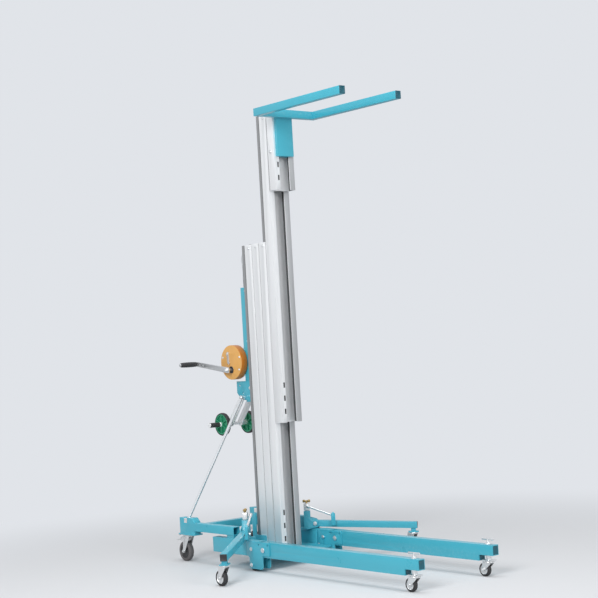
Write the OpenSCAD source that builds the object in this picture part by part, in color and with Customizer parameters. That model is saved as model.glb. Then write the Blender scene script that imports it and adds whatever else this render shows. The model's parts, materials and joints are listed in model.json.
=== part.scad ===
// Material hoist: a telescoping aluminium mast on a folding steel base, raised by a hand winch.
// Millimetres. +X is the front (legs and forks), +Y the left side, +Z up, the floor is Z = 0.
// Drawn from the rear face of the first column, then moved so that the footprint is centred.

/* [Mast] */
// outside width of a column
column_w = 150; // [136:1:180]
// depth of one column box, front to rear
column_d = 70; // [64:1:80]
// side wall of a column
column_wall = 5; // [4:0.5:6]
// thickness of the rear web and of the front lips
lip_t = 6; // [5:0.5:8]
// opening between the front lips
mouth_w = 76; // [68:1:84]
// air between neighbouring columns
column_gap = 2; // [1.5:0.5:3]
// length of a column
column_l = 1870; // [1700:10:2050]
// depth of the rail that runs inside the column behind
rail_d = 21; // [17:1:26]
// height of column 4 above its lowest place in the stored pose
raise_4 = 770; // [600:10:900]
// air under the columns that move
foot_gap = 3; // [2:0.5:6]
// sliding clearance of rails and legs
run_gap = 0.5; // [0.3:0.1:0.8]
// spacing of the windows in the right lips
window_pitch = 79; // [70:1:90]

/* [Carriage and forks] */
// length of the carriage
carriage_l = 467; // [420:1:520]
// depth of the carriage box
carriage_d = 62; // [58:1:70]
// width of the fork shank
shank_w = 122; // [112:1:130]
// depth of the fork shank ahead of the carriage
shank_d = 22; // [18:1:26]
// length of the fork shank
shank_l = 275; // [240:5:300]
// distance between the fork centre lines
fork_spacing = 424; // [380:2:480]
// width of a fork
fork_w = 40; // [34:1:50]
// height of a fork
fork_h = 46; // [40:1:56]
// length of a fork ahead of the shank
fork_l = 784; // [650:2:900]

/* [Base] */
// distance between the leg centre lines
leg_spacing = 558; // [520:2:620]
// width of the base tubes
tube_w = 50; // [46:1:60]
// height of the base tubes
tube_h = 90; // [84:1:100]
// height of the base tubes above the floor
tube_z = 86; // [84:1:96]
// wall of the steel tubes
tube_wall = 4; // [3:0.5:5]
// leg hinge ahead of the rear face of column 1
hinge_x = 332; // [320:1:350]
// base tube reach behind column 1
base_rear = 183; // [150:1:210]
// reach of the rear boxes behind column 1
rear_reach = 534; // [500:2:580]
// length of a rear box
box_l = 156; // [140:1:170]
// height of a rear box
box_h = 100; // [90:1:110]
// height and width of the rear beams
beam_h = 50; // [44:1:56]
// air between the base tubes and the rear beams
beam_lift = 20; // [16:1:24]
// thickness of the hinge plates
plate_t = 6; // [5:0.5:8]
// radius of the fixed floor rollers
roller_r = 37; // [33:1:39]

/* [Legs] */
// reach of the leg ends ahead of column 1
leg_reach = 1631; // [1500:5:1750]
// length of the cut-out at the leg end
notch_l = 103; // [96:1:115]
// height of the cut-out at the leg end
notch_h = 33; // [30:1:38]
// radius of the leg hinge bolt
hinge_r = 9; // [7:0.5:10]

/* [Stabilizers] */
// angle of the stabilizers from straight ahead
stab_angle = 48; // [44:1:54]
// reach of a stabilizer from its upright
stab_reach = 657; // [600:2:700]
// fall of a stabilizer from its pivot to its end
stab_drop = 43; // [30:1:44]
// width and height of a stabilizer
stab_w = 40; // [36:1:42]
// uprights ahead of the rear face of column 1
upright_x = 79; // [74:1:86]
// uprights beside the middle of the mast
upright_y = 241; // [236:1:250]
// height of the uprights above the base tube
upright_h = 109; // [104:1:125]

/* [Casters] */
// wheel radius of the front casters
front_r = 37.5; // [34:0.5:39]
// wheel radius of the stabilizer casters
stab_r = 45; // [40:1:48]
// height of the stabilizer casters
stab_caster_h = 120; // [114:1:130]
// wheel radius of the rear casters
rear_r = 62.5; // [56:0.5:66]
// wheel axle radius
axle_r = 5; // [4:0.5:6]
// bearing clearance of every turning part
fit = 0.05; // [0.02:0.01:0.08]
// air between a swivel and its plate
swivel_gap = 0.5; // [0.3:0.1:0.8]

/* [Winch] */
// drum axis behind column 1
drum_x = 178; // [174:1:186]
// height of the drum axis
drum_z = 1237; // [1200:1:1280]
// radius of the wound rope, to the rope centre
wound_r = 48; // [44:1:50]
// rope radius
rope_r = 2.5; // [2:0.5:2.5]
// turns of rope on the drum
wind_turns = 8; // [4:1:10]
// radius of the gear cover
cover_r = 108; // [100:1:114]
// length of the crank arm
crank_l = 325; // [290:1:330]
// crank shaft below the drum axis
crank_drop = 46; // [43:1:47]
// width of the winch post
post_w = 80; // [70:1:80]
// depth of the winch post
post_d = 78; // [72:1:80]
// lower end of the winch post
post_z = 986; // [960:1:1000]
// length of the winch post
post_l = 714; // [680:2:740]

/* [Transport wheels] */
// wheel radius
trans_r = 72; // [66:1:78]
// axle behind column 1
trans_x = 290; // [285:1:300]
// wheels beside the middle of the mast
trans_y = 101; // [98:1:104]
// height of the axle
trans_z = 850; // [835:1:865]

/* [Hidden] */
$fn = 48;
e = 1;
pitch = column_d + column_gap;
rail_x1 = -(column_gap + lip_t + run_gap);
rail_x0 = rail_x1 - rail_d;
rail_hw = column_w / 2 - column_wall - run_gap;
neck_hw = mouth_w / 2 - 8;
top_z = tube_z + tube_h;
foot_z = tube_z + foot_gap;
mast_top = tube_z + column_l;
leg_y = leg_spacing / 2;
leg_w = tube_w - 2 * run_gap;
hinge_z = tube_z + tube_h / 2;
tail = tube_h / 2;
tail_cut = 18;
tail_r = norm([tail, tail - tail_cut]);
base_front = hinge_x - tail_r - 2;
roller_x = hinge_x - 115;
carriage_x = 4 * pitch;
carriage_z = foot_z + raise_4 + column_l - carriage_l;
shank_x = carriage_x + carriage_d;
tongue_d = 30;
shank_z = carriage_z + carriage_l + 10 - shank_l;
fork_z = shank_z + shank_l - fork_h;
front_trail = 32;
front_w = 26;
stab_trail = 34;
stab_ww = 28;
rear_trail = 40;
rear_w = 34;
rear_h = top_z - 8;
front_x = leg_reach - notch_l / 2;
rear_x = -(rear_reach - box_l / 2 + 14);
brake_x = 60;
brake_l = 62;
x_mid = (leg_reach + rear_x - brake_x - brake_l) / 2;
pin_r = 6;
post_x1 = rail_x0;
post_x0 = post_x1 - post_d;
rope_x = -drum_x + wound_r + 2 * rope_r + 0.4;
rope_in = (rail_x0 + 0) / 2 + 2;
sheave_r = (rope_in - rope_x) / 2;
sheave_x = (rope_in + rope_x) / 2;
sheave_z = mast_top - sheave_r - 24;
frame_y = post_w / 2 + 0.5;
cover_y0 = -(frame_y + 5);
cover_y1 = cover_y0 - 46;
crank_z = drum_z - crank_drop;
wind_pitch = 2 * rope_r + 0.8;
crank_tilt = 8;
crank_y = cover_y1 - 34;
arm_y = post_w / 2 + plate_t;
pivot_s = stab_w / 2 + 28;
foot_t = 6;
pivot_z = top_z + foot_t + 4 + stab_w / 2;
stab_end = stab_reach + 24;
stab_x = upright_x + stab_reach * cos(stab_angle);
stab_y = upright_y + stab_reach * sin(stab_angle);
lug_s = 163;
cheek_y = stab_w / 2 + run_gap;
strut_y = cheek_y + 5 + 10.5;
brace_top = [-114, arm_y + 26, post_z + 30];
brace_foot = [rear_x - 5, leg_y, top_z + box_h - 16];

// moves a piece from the drawing place to the centred footprint
module placed() { translate([-x_mid, 0, 0]) children(); }

// draws on the left side, or mirrored on the right
module side(s) { if (s > 0) children(); else mirror([0, 1, 0]) children(); }

// a round bar between two points
module bar(p, q, r) {
    v = q - p;
    translate(p) rotate([0, acos(v[2] / norm(v)), atan2(v[1], v[0])]) cylinder(h = norm(v), r = r);
}

// a round bar along Y between y0 and y1
module ybar(x, z, y0, y1, r) { translate([x, y1, z]) rotate([90, 0, 0]) cylinder(h = y1 - y0, r = r); }

// a plate in the XZ plane from y0 to y1
module xzplate(y0, y1) { translate([0, y1, 0]) rotate([90, 0, 0]) linear_extrude(y1 - y0) children(); }

// a box from one corner to the other
module box(a, b) { translate(a) cube(b - a); }

module steel() { color([0.10, 0.62, 0.68]) placed() children(); }
module alloy() { color([0.80, 0.82, 0.84]) placed() children(); }
module zinc() { color([0.75, 0.76, 0.77]) placed() children(); }
module black() { color([0.06, 0.06, 0.07]) placed() children(); }

// cross-section of a column: a box open to the front between two lips, with a hollow rail behind
module column_profile(d, mouth) {
    difference() {
        translate([0, -column_w / 2]) square([d, column_w]);
        translate([lip_t, -column_w / 2 + column_wall]) square([d - 2 * lip_t, column_w - 2 * column_wall]);
        translate([d - lip_t - e, -mouth / 2]) square([lip_t + 2 * e, mouth]);
    }
    difference() {
        translate([rail_x0, -rail_hw]) square([rail_d, 2 * rail_hw]);
        translate([rail_x0 + 4, -rail_hw + 4]) square([rail_d - 8, 2 * rail_hw - 8]);
        translate([rail_x1 - 4 - e, -neck_hw + 6]) square([4 + 2 * e, 2 * neck_hw - 12]);
    }
    for (s = [-1, 1])
        translate([rail_x1 - e, s > 0 ? neck_hw - 6 : -neck_hw]) square([e - rail_x1 + e, 6]);
}

// one mast column at its place, with the windows in the right lip and the cross pin near the top
module column(n, z) {
    x = (n - 1) * pitch;
    difference() {
        translate([x, 0, z]) linear_extrude(column_l) column_profile(column_d, mouth_w);
        for (k = [0 : 2])
            translate([x + column_d - lip_t - e, -mouth_w / 2 - 15, z + 52 + k * window_pitch])
                cube([lip_t + 2 * e, 12, 32]);
        if (n == 1)
            box([x + rail_x0 - e, -9, sheave_z - sheave_r - 14], [x + rail_x0 + 4 + e, 9, z + column_l + e]);
    }
    for (s = [-1, 1])
        ybar(x + column_d - 24, z + column_l - 22, s > 0 ? column_w / 2 - e : -column_w / 2 - 3,
            s > 0 ? column_w / 2 + 3 : -column_w / 2 + e, 7);
}
module column_1() { alloy() column(1, tube_z); }
module column_2() { alloy() column(2, foot_z); }
module column_3() { alloy() column(3, foot_z); }
module column_4() { alloy() column(4, foot_z + raise_4); }

module carriage() {
    alloy() difference() {
        union() {
            translate([carriage_x, 0, carriage_z]) linear_extrude(carriage_l)
                column_profile(carriage_d, mouth_w);
            for (s = [-1, 1])
                ybar(carriage_x + carriage_d / 2, carriage_z + carriage_l / 2, s > 0 ? column_w / 2 - e : -column_w / 2 - 4,
                    s > 0 ? column_w / 2 + 4 : -column_w / 2 + e, 9);
        }
        for (k = [0 : 1])
            translate([carriage_x + carriage_d - lip_t - e, -mouth_w / 2 - 15, carriage_z + 58 + k * window_pitch])
                cube([lip_t + 2 * e, 12, 32]);
    }
}

// fork shank on the front of the carriage, with a tongue in its channel and the cross beam that carries the forks
module fork_frame() {
    tongue_hw = mouth_w / 2 - run_gap;
    steel() {
        box([shank_x, -shank_w / 2, shank_z], [shank_x + shank_d, shank_w / 2, shank_z + shank_l]);
        difference() {
            box([shank_x - tongue_d, -tongue_hw, shank_z], [shank_x + e, tongue_hw, shank_z + shank_l]);
            box([shank_x - tongue_d + tube_wall, -tongue_hw + tube_wall, shank_z - e],
                [shank_x, tongue_hw - tube_wall, shank_z + shank_l - tube_wall]);
        }
        box([shank_x + shank_d - e, -(fork_spacing - fork_w) / 2, fork_z],
            [shank_x + shank_d + 40, (fork_spacing - fork_w) / 2, fork_z + fork_h]);
    }
}
module fork(s) {
    steel() difference() {
        translate([shank_x + shank_d, s * fork_spacing / 2 - fork_w / 2, fork_z]) cube([fork_l, fork_w, fork_h]);
        translate([shank_x + shank_d - e, s * fork_spacing / 2 - fork_w / 2 + tube_wall, fork_z + tube_wall])
            cube([fork_l - tube_wall + e, fork_w - 2 * tube_wall, fork_h - 2 * tube_wall]);
    }
}
module fork_left() { fork(1); }
module fork_right() { fork(-1); }

// square tube along X, open at both ends
module tube_x(x0, x1, y, z, w, h) {
    difference() {
        translate([x0, y - w / 2, z]) cube([x1 - x0, w, h]);
        translate([x0 - e, y - w / 2 + tube_wall, z + tube_wall]) cube([x1 - x0 + 2 * e, w - 2 * tube_wall, h - 2 * tube_wall]);
    }
}
module base_tube(s) {
    steel() side(s) {
        tube_x(-base_rear, base_front, leg_y, tube_z, tube_w, tube_h);
        box([-base_rear, leg_y - tube_w / 2 + e, tube_z + e], [-base_rear + 4, leg_y + tube_w / 2 - e, top_z - e]);
    }
}
module base_tube_left() { base_tube(1); }
module base_tube_right() { base_tube(-1); }

// beam on the base tube with the box and plate of the rear caster, notched for the brace foot
module rear_beam(s) {
    b1 = -rear_reach + box_l;
    steel() side(s) {
        tube_x(b1 - e, upright_x - stab_w - 4, leg_y, top_z + beam_lift, tube_w, beam_h);
        box([-42, leg_y - 20, top_z], [upright_x - stab_w - 8, leg_y + 20, top_z + beam_lift + e]);
        difference() {
            box([-rear_reach, leg_y - tube_w / 2, top_z], [b1, leg_y + tube_w / 2, top_z + box_h]);
            box([-rear_reach + tube_wall, leg_y - tube_w / 2 + tube_wall, top_z + tube_wall],
                [b1 - tube_wall, leg_y + tube_w / 2 - tube_wall, top_z + box_h - 32 - tube_wall]);
            xzplate(leg_y - tube_w, leg_y + tube_w) polygon([[b1 + e, top_z + box_h - 24], [b1 + e, top_z + box_h + e],
                [b1 - 26, top_z + box_h + e]]);
            box([rear_x - 16, leg_y - tube_w / 2 - e, top_z + box_h - 32],
                [rear_x + 16, leg_y + tube_w / 2 + e, top_z + box_h + e]);
        }
        box([-rear_reach - 8, leg_y - tube_w / 2 - 8, top_z - 8], [b1 + 8, leg_y + tube_w / 2 + 8, top_z + e]);
        translate([rear_x, leg_y, top_z - 15]) cylinder(h = 15, r = pin_r);
    }
}
module rear_beam_left() { rear_beam(1); }
module rear_beam_right() { rear_beam(-1); }

module rear_cross_beam() {
    x0 = -rear_reach + box_l - 64;
    steel() difference() {
        box([x0, -leg_y + tube_w / 2, top_z + 4], [x0 + 50, leg_y - tube_w / 2, top_z + 4 + beam_h]);
        box([x0 + tube_wall, -leg_y, top_z + 4 + tube_wall], [x0 + 50 - tube_wall, leg_y, top_z + 4 + beam_h - tube_wall]);
    }
}

// floor plate under the mast, cheeks on the base tubes, rear cross tube and the socket of column 1
module mast_tray() {
    yi = leg_y - tube_w / 2;
    steel() {
        box([rail_x0 - 60, -yi + plate_t + 2, tube_z - 12], [4 * pitch + 4, yi - plate_t - 2, tube_z]);
        for (s = [-1, 1]) {
            side(s) box([rail_x0 - 60, yi - 9, tube_z - 12], [hinge_x - 175, yi, top_z - 6]);
            side(s) box([rail_x0, column_w / 2 + 0.5, tube_z - e], [pitch - 6, column_w / 2 + 8.5, top_z - 6]);
            side(s) box([rail_x0 - 34, column_w / 2 + 0.5, tube_z - e], [rail_x0 + e, column_w / 2 + 8.5, top_z + 124]);
        }
        box([rail_x0 - 60, -yi + e, tube_z - e], [rail_x0 - 10, yi - e, tube_z + 64]);
    }
}

// pair of plates that carries the leg hinge bolt, and below it the axle of the fixed roller
module hinge_bracket(s) {
    h0 = hinge_x - 165;
    steel() side(s) {
        for (t = [-1, 1]) {
            y0 = leg_y + (t > 0 ? tube_w / 2 : -tube_w / 2 - plate_t);
            difference() {
                xzplate(y0, y0 + plate_t) polygon([[h0, tube_z + 8], [h0 + 24, tube_z - 8], [h0 + 24, 24],
                    [h0 + 36, 14], [hinge_x - 25, 14], [hinge_x - 13, 26], [hinge_x - 13, tube_z + 10],
                    [hinge_x + 55, tube_z + 10], [hinge_x + 55, top_z - 10], [hinge_x + 45, top_z],
                    [h0 + 10, top_z], [h0, top_z - 10]]);
                ybar(hinge_x + 38, top_z - 16, y0 - e, y0 + plate_t + e, 6);
                ybar(hinge_x - 48, top_z - 16, y0 - e, y0 + plate_t + e, 6);
            }
        }
        box([h0 + 26, leg_y - tube_w / 2 - e, tube_z - 6], [hinge_x - 80, leg_y + tube_w / 2 + e, tube_z]);
        ybar(roller_x, roller_r, leg_y - tube_w / 2 - plate_t - 6, leg_y + tube_w / 2 + plate_t + 6, 8);
        ybar(hinge_x, hinge_z, leg_y - tube_w / 2 - plate_t - 7, leg_y + tube_w / 2 + plate_t + 7, hinge_r);
        for (t = [-1, 1]) {
            ya = leg_y + t * (tube_w / 2 + plate_t + 3) - 3;
            ybar(hinge_x, hinge_z, ya - 0.2, ya + 6.2, 15);
            ybar(roller_x, roller_r, ya - 0.2, ya + 6.2, 13);
            ybar(hinge_x - 112, hinge_z, ya - 0.2, ya + 6.2, 11);
        }
    }
}
module hinge_bracket_left() { hinge_bracket(1); }
module hinge_bracket_right() { hinge_bracket(-1); }

// a wheel about the Y axis with a bore
module wheel(r, w, bore, edge) {
    rotate([90, 0, 0]) rotate_extrude() polygon([[bore, -w / 2], [bore + 9, -w / 2], [bore + 11, -w / 2 + 3],
        [r * 0.72, -w / 2 + 3], [r * 0.76, -w / 2], [r - edge, -w / 2], [r, -w / 2 + edge], [r, w / 2 - edge],
        [r - edge, w / 2], [r * 0.76, w / 2], [r * 0.72, w / 2 - 3], [bore + 11, w / 2 - 3],
        [bore + 9, w / 2], [bore, w / 2]]);
}
module roller(s) {
    black() side(s) translate([roller_x, leg_y, roller_r]) wheel(roller_r, tube_w - 4, 8 + fit, 4);
}
module roller_left() { roller(1); }
module roller_right() { roller(-1); }

// folding leg: tube with a rounded tail at the hinge and a cut-out for the caster block at the end
module leg(s) {
    steel() side(s) difference() {
        xzplate(leg_y - leg_w / 2, leg_y + leg_w / 2) polygon([[hinge_x - tail, tube_z + tail_cut],
            [hinge_x - tail + tail_cut, tube_z], [leg_reach - notch_l, tube_z], [leg_reach - notch_l, tube_z + notch_h],
            [leg_reach, tube_z + notch_h], [leg_reach, top_z], [hinge_x - tail + tail_cut, top_z],
            [hinge_x - tail, top_z - tail_cut]]);
        box([hinge_x - tail - e, leg_y - leg_w / 2 + tube_wall, tube_z + tube_wall],
            [leg_reach - notch_l - tube_wall, leg_y + leg_w / 2 - tube_wall, top_z - tube_wall]);
        box([leg_reach - notch_l - 2 * tube_wall, leg_y - leg_w / 2 + tube_wall, tube_z + notch_h + tube_wall],
            [leg_reach - tube_wall, leg_y + leg_w / 2 - tube_wall, top_z - tube_wall]);
        ybar(hinge_x, hinge_z, leg_y - leg_w, leg_y + leg_w, hinge_r + fit);
        translate([front_x, leg_y, tube_z]) cylinder(h = tube_h + e, r = pin_r + 0.5);
    }
}
module leg_left() { leg(1); }
module leg_right() { leg(-1); }

// tee screw through the leg end with the stem, plate and pin of the front caster
module leg_screw(s) {
    zinc() side(s) translate([front_x, leg_y, 0]) {
        translate([0, 0, tube_z + 6]) cylinder(h = notch_h - 6, r = 14);
        translate([0, 0, tube_z + notch_h - 5]) cylinder(h = 5, r = 20);
        box([-32, -24, tube_z], [32, 24, tube_z + 6 + e]);
        translate([0, 0, tube_z - 5]) cylinder(h = 6, r = pin_r);
        translate([0, 0, tube_z + notch_h - e]) cylinder(h = tube_h - notch_h + 30, r = pin_r);
        translate([0, 0, top_z]) cylinder(h = 4, r = 18);
        translate([0, 0, top_z + 4 - 0.2]) cylinder(h = 8, r = 11, $fn = 6);
        translate([-42, 0, top_z + 28]) rotate([0, 90, 0]) cylinder(h = 84, r = 5);
    }
}
module leg_screw_left() { leg_screw(1); }
module leg_screw_right() { leg_screw(-1); }

// swivel fork of a caster: crown plate, two cheeks and the wheel axle
module swivel_fork(r, w, h, trail) {
    zc = h - swivel_gap - 6;
    yc = w / 2 + 1;
    difference() {
        union() {
            translate([0, 0, zc]) cylinder(h = 6, r = 26);
            box([-34, -yc - 3.5, zc], [22, yc + 3.5, zc + 5]);
            for (t = [-1, 1]) {
                y0 = t > 0 ? yc : -yc - 3.5;
                xzplate(y0, y0 + 3.5) polygon([[-34, zc + e], [22, zc + e], [20, zc - 8], [-trail + 12, r - 2],
                    [-trail + 8, r - 9], [-trail - 8, r - 9], [-trail - 12, r - 2], [-34 - trail * 0.12, zc - 10]]);
            }
            ybar(-trail, r, -yc - 8, yc + 8, axle_r);
            for (t = [-1, 1]) ybar(-trail, r, t > 0 ? yc + 3.3 : -yc - 7.5, t > 0 ? yc + 7.5 : -yc - 3.3, axle_r + 4);
        }
        translate([0, 0, zc - e]) cylinder(h = 6 + 2 * e, r = pin_r + fit);
    }
}
module front_fork(s) {
    zinc() side(s) translate([front_x, leg_y, 0]) swivel_fork(front_r, front_w, tube_z, front_trail);
}
module front_fork_left() { front_fork(1); }
module front_fork_right() { front_fork(-1); }
module front_wheel(s) {
    black() side(s) translate([front_x - front_trail, leg_y, front_r]) wheel(front_r, front_w, axle_r + fit, 4);
}
module front_wheel_left() { front_wheel(1); }
module front_wheel_right() { front_wheel(-1); }

// turned to the line of a stabilizer, from its upright outwards
module along(s) { side(s) translate([upright_x, upright_y, 0]) rotate([0, 0, stab_angle]) children(); }

// height of the middle of a stabilizer at a distance from its upright
function arm_z(d) = pivot_z - stab_drop * (d - pivot_s) / (stab_end - pivot_s);

module upright(s) {
    steel() side(s) box([upright_x - stab_w, upright_y - stab_w + 2, top_z],
        [upright_x + stab_w, leg_y + tube_w / 2, top_z + foot_t]);
    steel() along(s) {
        z = top_z + foot_t;
        difference() {
            box([-stab_w / 2, -stab_w / 2, z - e], [stab_w / 2, stab_w / 2, top_z + upright_h]);
            box([-stab_w / 2 + tube_wall, -stab_w / 2 + tube_wall, z],
                [stab_w / 2 - tube_wall, stab_w / 2 - tube_wall, top_z + upright_h - 6]);
            translate([0, 0, top_z + upright_h - 10]) cylinder(h = 20, r = 5 + fit);
        }
        for (t = [-1, 1])
            xzplate(t > 0 ? cheek_y : -cheek_y - 5, t > 0 ? cheek_y + 5 : -cheek_y)
                polygon([[-stab_w / 2, z - e], [pivot_s + 16, z - e], [pivot_s + 20, z + 6],
                    [pivot_s + 20, z + 40], [pivot_s + 10, z + 50], [-stab_w / 2, z + 74]]);
        for (t = [-1, 1])
            box([-stab_w / 2 + 4, t > 0 ? stab_w / 2 - e : -cheek_y - e, z + 4],
                [stab_w / 2 - 4, t > 0 ? cheek_y + e : -stab_w / 2 + e, z + 44]);
        ybar(pivot_s, pivot_z, -cheek_y - 9, cheek_y + 9, 7);
    }
}
module upright_left() { upright(1); }
module upright_right() { upright(-1); }

// folding stabilizer arm, falling a little to its end, with the block and the plate of its caster
module stabilizer(s) {
    h = stab_w / 2;
    w = tube_wall;
    n = pivot_s - h;
    steel() along(s) {
        difference() {
            xzplate(-h, h) polygon([[n, pivot_z - h + 8], [n + 8, pivot_z - h], [pivot_s, pivot_z - h],
                [stab_end, arm_z(stab_end) - h], [stab_end, arm_z(stab_end) + h], [pivot_s, pivot_z + h],
                [n + 8, pivot_z + h], [n, pivot_z + h - 8]]);
            xzplate(-h + w, h - w) polygon([[0, pivot_z - h + w], [pivot_s, pivot_z - h + w],
                [stab_end - w, arm_z(stab_end) - h + w], [stab_end - w, arm_z(stab_end) + h - w],
                [pivot_s, pivot_z + h - w], [0, pivot_z + h - w]]);
            ybar(pivot_s, pivot_z, -h - e, h + e, 7 + fit);
        }
        box([stab_reach - 15, -15, stab_caster_h + 5], [stab_reach + 15, 15, arm_z(stab_reach) - h + 3]);
        box([stab_reach - 32, -26, stab_caster_h], [stab_reach + 32, 26, stab_caster_h + 6]);
        translate([stab_reach, 0, stab_caster_h - 5]) cylinder(h = 6, r = pin_r);
        z = arm_z(lug_s);
        box([lug_s - 13, -strut_y - 8, z - 8], [lug_s + 13, -h + e, z + 8]);
        xzplate(-strut_y - 8, -strut_y + 7) polygon([[lug_s - 13, z - 8], [lug_s + 13, z - 8],
            [lug_s + 13, z + 64], [lug_s, z + 76], [lug_s - 13, z + 64]]);
    }
}
module stabilizer_left() { stabilizer(1); }
module stabilizer_right() { stabilizer(-1); }

// strut rod fixed in the lug of the arm, its free end beside the head of the upright
module strut(s) {
    foot = [lug_s - 13, -strut_y, arm_z(lug_s) + 60];
    tip = [6, -strut_y, top_z + upright_h + 32];
    d = (tip - foot) / norm(tip - foot);
    zinc() along(s) {
        difference() {
            bar(foot - 6 * d, tip, 7);
            box([lug_s - 13, -strut_y - 20, foot[2] - 30], [lug_s + 13, -strut_y + 20, foot[2] + 30]);
        }
        bar(tip - 14 * d, tip + 6 * d, 9.5);
    }
}
module strut_left() { strut(1); }
module strut_right() { strut(-1); }

module stab_fork(s) {
    zinc() side(s) translate([stab_x, stab_y, 0]) swivel_fork(stab_r, stab_ww, stab_caster_h, stab_trail);
}
module stab_fork_left() { stab_fork(1); }
module stab_fork_right() { stab_fork(-1); }
module stab_wheel(s) {
    black() side(s) translate([stab_x - stab_trail, stab_y, stab_r]) wheel(stab_r, stab_ww, axle_r + fit, 4);
}
module stab_wheel_left() { stab_wheel(1); }
module stab_wheel_right() { stab_wheel(-1); }

// latch head that turns on an upright, with a cross bar and two knobs on top
module latch(s) {
    z = top_z + upright_h;
    color([0.75, 0.58, 0.28]) placed() along(s) {
        translate([0, 0, z - 5]) cylinder(h = 12, r = 5);
        translate([0, 0, z + swivel_gap]) cylinder(h = 6, r = 12);
        box([-18, -14, z + 6], [18, 14, z + 46]);
        translate([0, 0, z + 45]) cylinder(h = 12, r = 7);
        translate([-15, 0, z + 60]) rotate([0, 90, 0]) cylinder(h = 30, r = 5);
        for (t = [-1, 1])
            translate([0, 0, z + 60]) rotate([0, 90 * t, 0]) rotate_extrude()
                polygon([[0, 8], [6, 8], [9, 11], [9, 20], [6, 24], [0, 24]]);
    }
}
module latch_left() { latch(1); }
module latch_right() { latch(-1); }

module rear_fork(s) {
    zinc() side(s) translate([rear_x, leg_y, 0]) {
        swivel_fork(rear_r, rear_w, rear_h, rear_trail);
        for (t = [-1, 1]) {
            y0 = t > 0 ? rear_w / 2 + 1 : -rear_w / 2 - 4.5;
            xzplate(y0, y0 + 3.5) polygon([[-30, rear_h - 8], [-44, rear_h - 8], [-72, rear_h - 22],
                [-72, rear_h - 40], [-36, rear_h - 40]]);
        }
        ybar(-brake_x, rear_h - 30, -rear_w / 2 - 8, rear_w / 2 + 8, 4);
    }
}
module rear_fork_left() { rear_fork(1); }
module rear_fork_right() { rear_fork(-1); }
module rear_wheel(s) {
    color([0.32, 0.32, 0.33]) placed() side(s)
        translate([rear_x - rear_trail, leg_y, rear_r]) wheel(rear_r, rear_w, axle_r + fit, 5);
}
module rear_wheel_left() { rear_wheel(1); }
module rear_wheel_right() { rear_wheel(-1); }

// brake pedal on its pin at the back of a rear caster
module brake(s) {
    zinc() side(s) translate([rear_x - brake_x, leg_y, rear_h - 30]) difference() {
        union() {
            ybar(0, 0, -rear_w / 2 + 1, rear_w / 2 - 1, 8);
            xzplate(-rear_w / 2 + 1, rear_w / 2 - 1) polygon([[-2, 4], [-44, -12], [-brake_l, -10],
                [-brake_l, -5], [-46, -6], [-2, 8]]);
        }
        ybar(0, 0, -rear_w, rear_w, 4 + fit);
    }
}
module brake_left() { brake(1); }
module brake_right() { brake(-1); }

// post on the back of column 1 with the two gusset plates below the winch
module winch_post() {
    steel() {
        difference() {
            box([post_x0, -post_w / 2, post_z], [post_x1, post_w / 2, post_z + post_l]);
            box([post_x0 + tube_wall, -post_w / 2 + tube_wall, post_z - e],
                [post_x1 - tube_wall, post_w / 2 - tube_wall, post_z + post_l + e]);
        }
        for (t = [-1, 1]) {
            y0 = t > 0 ? post_w / 2 - 0.5 : -arm_y;
            difference() {
                xzplate(y0, y0 + plate_t + 0.5) polygon([[post_x1 - 12, post_z + 130], [-194, post_z + 130],
                    [-194, post_z + 57], [-152, post_z + 16], [post_x1 - 12, post_z + 4]]);
                ybar(-166, post_z + 102, y0 - e, y0 + plate_t + 2 * e, 7);
                ybar(-134, post_z + 56, y0 - e, y0 + plate_t + 2 * e, 7);
            }
        }
    }
}

// side plates of the winch on a foot plate, bored for the drum shaft
module winch_frame() {
    x0 = -drum_x - 58;
    zinc() difference() {
        union() {
            box([post_x0 - 6, -frame_y - 5, drum_z - 87], [post_x0, frame_y + 5, drum_z + 83]);
            for (t = [-1, 1])
                box([x0, t > 0 ? frame_y : -frame_y - 5, drum_z - 70], [post_x0 - 5, t > 0 ? frame_y + 5 : -frame_y, drum_z + 66]);
            ybar(-drum_x, drum_z, -frame_y - 5, -frame_y, cover_r);
        }
        ybar(-drum_x, drum_z, -frame_y - 10, frame_y + 10, 12 + fit);
        box([post_x0, -frame_y - 10, drum_z - 2 * cover_r], [post_x0 + 4 * cover_r, -frame_y, drum_z + 2 * cover_r]);
    }
}

// drum with its shaft, flanges and the ring gear inside the cover
module winch_drum() {
    zinc() translate([-drum_x, 0, drum_z]) {
        ybar(0, 0, -frame_y - 12, frame_y + 11, 12);
        ybar(0, 0, -frame_y + 2, frame_y - 2, wound_r - rope_r - 0.2);
        for (t = [-1, 1]) ybar(0, 0, t > 0 ? frame_y - 6 : -frame_y + 1, t > 0 ? frame_y - 1 : -frame_y + 6, 62);
        ybar(0, 0, cover_y0 - 7, cover_y0 - 2, 92);
        difference() {
            ybar(0, 0, cover_y0 - 20, cover_y0 - 6, 92);
            ybar(0, 0, cover_y0 - 21, cover_y0 - 7, 66);
        }
    }
}

// rope wound on the drum, as the sleeve that its turns fill
module drum_rope() {
    half = wind_turns * wind_pitch / 2 + rope_r;
    zinc() translate([-drum_x, 0, drum_z]) difference() {
        ybar(0, 0, -half, half, wound_r + rope_r);
        ybar(0, 0, -half - e, half + e, wound_r - rope_r);
    }
}

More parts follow.
